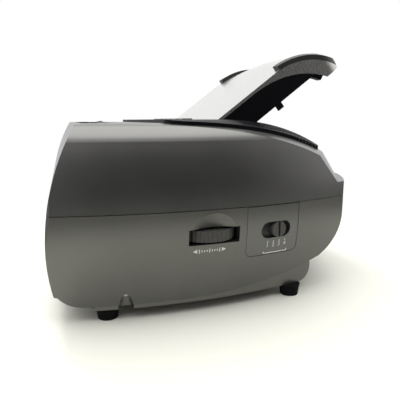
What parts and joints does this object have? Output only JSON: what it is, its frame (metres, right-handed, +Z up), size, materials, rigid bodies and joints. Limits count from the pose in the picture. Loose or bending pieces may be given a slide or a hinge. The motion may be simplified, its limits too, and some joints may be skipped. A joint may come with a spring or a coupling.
{
  "type": "portable CD and radio player",
  "caption": "Table-top portable CD and radio player with a top disc lid standing open, thumbwheels on its sides, a slide switch, a folding handle and a battery door.",
  "frame": {"origin": "centre of the footprint, on the surface that the feet stand on", "axes": "+X to the right as the user faces the front, -Y to the front, +Z up"},
  "size_m": [0.2948, 0.27, 0.2046],
  "materials": {
    "body_dark": "satin moulded plastic with a fine grain",
    "body_grey": "satin moulded plastic with a fine grain",
    "black_plastic": "black moulded plastic",
    "rubber": "moulded rubber",
    "steel": "plated steel",
    "chrome": "polished plating",
    "silver_paint": "silver painted skin",
    "button_grey": "painted button caps",
    "clear_dark": "smoked clear plastic",
    "display": "display glass over its module",
    "board": "lacquered circuit board",
    "white_plastic": "white moulded plastic",
    "orange_plastic": "dyed plastic",
    "grey_plastic": "grey engineering plastic",
    "speaker_frame": "pressed steel",
    "paper": "pulp cone",
    "lens_glass": "coated lens"
  },
  "bodies": {
    "housing": {"upper_housing": "body_dark", "lower_housing": "body_grey", "base_tray": "black_plastic", "rubber_feet": "rubber", "housing_screws": "steel", "top_panel": "black_plastic", "display_window": "clear_dark", "display_module": "display", "control_board": "board", "handle_pins": "steel", "tuning_gang": "grey_plastic", "volume_pot": "grey_plastic", "function_panel": "body_dark", "dial_window": "clear_dark", "dial_plate": "white_plastic", "audio_jacks": "black_plastic", "battery_bay": "black_plastic", "battery_contacts": "steel", "door_pins": "steel", "ac_inlet": "black_plastic", "speaker_frames": "speaker_frame", "speaker_cones": "paper", "speaker_magnets": "steel", "main_board": "board", "power_transformer": "steel", "cd_deck": "black_plastic", "spindle_motor": "steel", "guide_rods": "steel", "mast_sleeve": "chrome"},
    "lid": {"lid_shell": "silver_paint", "lid_grip": "body_dark", "lid_frame": "black_plastic", "lid_pins": "steel"},
    "clamp": {"disc_clamp": "white_plastic"},
    "hub": {"turntable_hub": "grey_plastic"},
    "sled": {"pickup_sled": "grey_plastic", "pickup_lens": "lens_glass"},
    "tuning": {"tuning_wheel": "black_plastic"},
    "pointer": {"dial_pointer": "orange_plastic"},
    "volume": {"volume_wheel": "black_plastic"},
    "function": {"function_knob": "black_plastic"},
    "handle": {"carry_handle": "black_plastic"},
    "door": {"battery_door": "body_grey"},
    "mast_outer": {"mast_outer": "chrome"},
    "mast_middle": {"mast_middle": "chrome"},
    "mast_tip": {"mast_tip": "chrome"},
    "button_mode": {"button_mode": "button_grey"},
    "button_back": {"button_back": "button_grey"},
    "button_stop": {"button_stop": "button_grey"},
    "button_play": {"button_play": "button_grey"},
    "button_forward": {"button_forward": "button_grey"},
    "button_program": {"button_program": "button_grey"}
  },
  "joints": [
    {"name": "lid_hinge", "type": "hinge", "parent": "housing", "child": "lid", "pos_m": [0, -0.003, 0.131], "axis": [1, 0, 0], "range_deg": [0, 44], "stiffness_Nm_per_rad": 0.12, "springref_deg": -91.67},
    {"name": "clamp_spin", "type": "hinge", "parent": "lid", "child": "clamp", "pos_m": [0, -0.04954, 0.16395], "axis": [0, 0.6018, 0.7986], "continuous": true},
    {"name": "hub_spin", "type": "hinge", "parent": "housing", "child": "hub", "pos_m": [0, -0.05836, 0.11413], "axis": [0, -0.1219, 0.9925], "continuous": true},
    {"name": "sled_slide", "type": "slide", "parent": "housing", "child": "sled", "axis": [0, -0.9925, -0.1219], "range_m": [-0.0065, 0.0185]},
    {"name": "tuning_turn", "type": "hinge", "parent": "housing", "child": "tuning", "pos_m": [-0.1264, 0.02396, 0.0604], "axis": [0, 0, 1], "range_deg": [-150, 150]},
    {"name": "pointer_slide", "type": "slide", "parent": "housing", "child": "pointer", "axis": [1, 0, 0], "range_m": [-0.037, 0.037]},
    {"name": "volume_turn", "type": "hinge", "parent": "housing", "child": "volume", "pos_m": [0.1264, 0.02396, 0.0604], "axis": [0, 0, 1], "range_deg": [-150, 150]},
    {"name": "function_slide", "type": "slide", "parent": "housing", "child": "function", "axis": [-0.171, 0.9853, 0], "range_m": [-0.004, 0.008]},
    {"name": "handle_swing", "type": "hinge", "parent": "housing", "child": "handle", "pos_m": [0, 0.062, 0.1325], "axis": [1, 0, 0], "range_deg": [0, 90]},
    {"name": "door_swing", "type": "hinge", "parent": "housing", "child": "door", "pos_m": [0, 0.1307, 0.0301], "axis": [-1, 0, 0], "range_deg": [0, 95]},
    {"name": "press_mode", "type": "slide", "parent": "housing", "child": "button_mode", "axis": [0, 0, -1], "range_m": [0, 0.0012], "stiffness_N_per_m": 300, "springref_m": -0.001},
    {"name": "press_back", "type": "slide", "parent": "housing", "child": "button_back", "axis": [0, 0, -1], "range_m": [0, 0.0012], "stiffness_N_per_m": 300, "springref_m": -0.001},
    {"name": "press_stop", "type": "slide", "parent": "housing", "child": "button_stop", "axis": [0, 0, -1], "range_m": [0, 0.0012], "stiffness_N_per_m": 300, "springref_m": -0.001},
    {"name": "press_play", "type": "slide", "parent": "housing", "child": "button_play", "axis": [0, 0, -1], "range_m": [0, 0.0012], "stiffness_N_per_m": 300, "springref_m": -0.001},
    {"name": "press_forward", "type": "slide", "parent": "housing", "child": "button_forward", "axis": [0, 0, -1], "range_m": [0, 0.0012], "stiffness_N_per_m": 300, "springref_m": -0.001},
    {"name": "press_program", "type": "slide", "parent": "housing", "child": "button_program", "axis": [0, 0, -1], "range_m": [0, 0.0012], "stiffness_N_per_m": 300, "springref_m": -0.001},
    {"name": "mast_lift_outer", "type": "slide", "parent": "housing", "child": "mast_outer", "axis": [0, 0, 1], "range_m": [0, 0.085]},
    {"name": "mast_lift_middle", "type": "slide", "parent": "mast_outer", "child": "mast_middle", "axis": [0, 0, 1], "range_m": [0, 0.085]},
    {"name": "mast_lift_tip", "type": "slide", "parent": "mast_middle", "child": "mast_tip", "axis": [0, 0, 1], "range_m": [0, 0.085]}
  ],
  "couplings": [
    {"joint": "pointer_slide", "follows": "tuning_turn", "m_per_rad": 0.0137}
  ]
}
